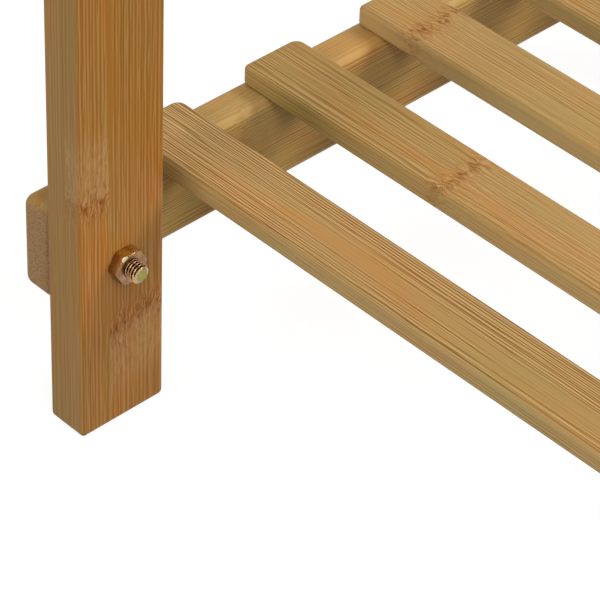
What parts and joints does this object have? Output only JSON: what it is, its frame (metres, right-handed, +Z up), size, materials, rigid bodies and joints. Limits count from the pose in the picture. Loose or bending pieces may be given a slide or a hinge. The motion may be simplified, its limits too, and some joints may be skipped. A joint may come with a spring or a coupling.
{
  "type": "entryway bench",
  "caption": "Low slatted bamboo bench for an entryway: flat legs, side rails bolted to their outer faces, an open slatted shelf near the floor and a slatted seat.",
  "frame": {"origin": "on the floor under the middle of the bench", "axes": "+X along the bench to the right, +Y to the back, +Z up"},
  "size_m": [0.7064, 0.28, 0.45],
  "materials": {
    "bamboo_legs": "satin lacquer",
    "bamboo_rails": "satin lacquer",
    "bamboo_slats": "satin lacquer",
    "dowel_wood": "matte",
    "yellow_zinc": "bright yellow passivated zinc",
    "plain_steel": "plain zinc plated"
  },
  "bodies": {
    "root": {"leg_front_left": "bamboo_legs", "leg_front_right": "bamboo_legs", "leg_back_left": "bamboo_legs", "leg_back_right": "bamboo_legs", "shelf_rail_left": "bamboo_rails", "shelf_rail_right": "bamboo_rails", "shelf_slat_1": "bamboo_slats", "shelf_slat_2": "bamboo_slats", "shelf_slat_3": "bamboo_slats", "shelf_slat_4": "bamboo_slats", "shelf_slat_5": "bamboo_slats", "shelf_batten": "bamboo_rails", "seat_rail_left": "bamboo_rails", "seat_rail_right": "bamboo_rails", "seat_apron_front": "bamboo_rails", "seat_apron_back": "bamboo_rails", "seat_batten": "bamboo_rails", "seat_slat_1": "bamboo_slats", "seat_slat_2": "bamboo_slats", "seat_slat_3": "bamboo_slats", "seat_slat_4": "bamboo_slats", "seat_slat_5": "bamboo_slats", "seat_slat_6": "bamboo_slats", "seat_slat_7": "bamboo_slats", "shelf_bolts": "yellow_zinc", "shelf_nuts": "yellow_zinc", "seat_bolts": "yellow_zinc", "seat_nuts": "yellow_zinc", "apron_bolts": "yellow_zinc", "apron_barrel_nuts": "plain_steel", "shelf_slat_dowels": "dowel_wood", "seat_slat_dowels": "dowel_wood", "batten_dowels": "dowel_wood", "shelf_batten_screws": "plain_steel", "seat_batten_screws": "plain_steel"}
  },
  "joints": []
}
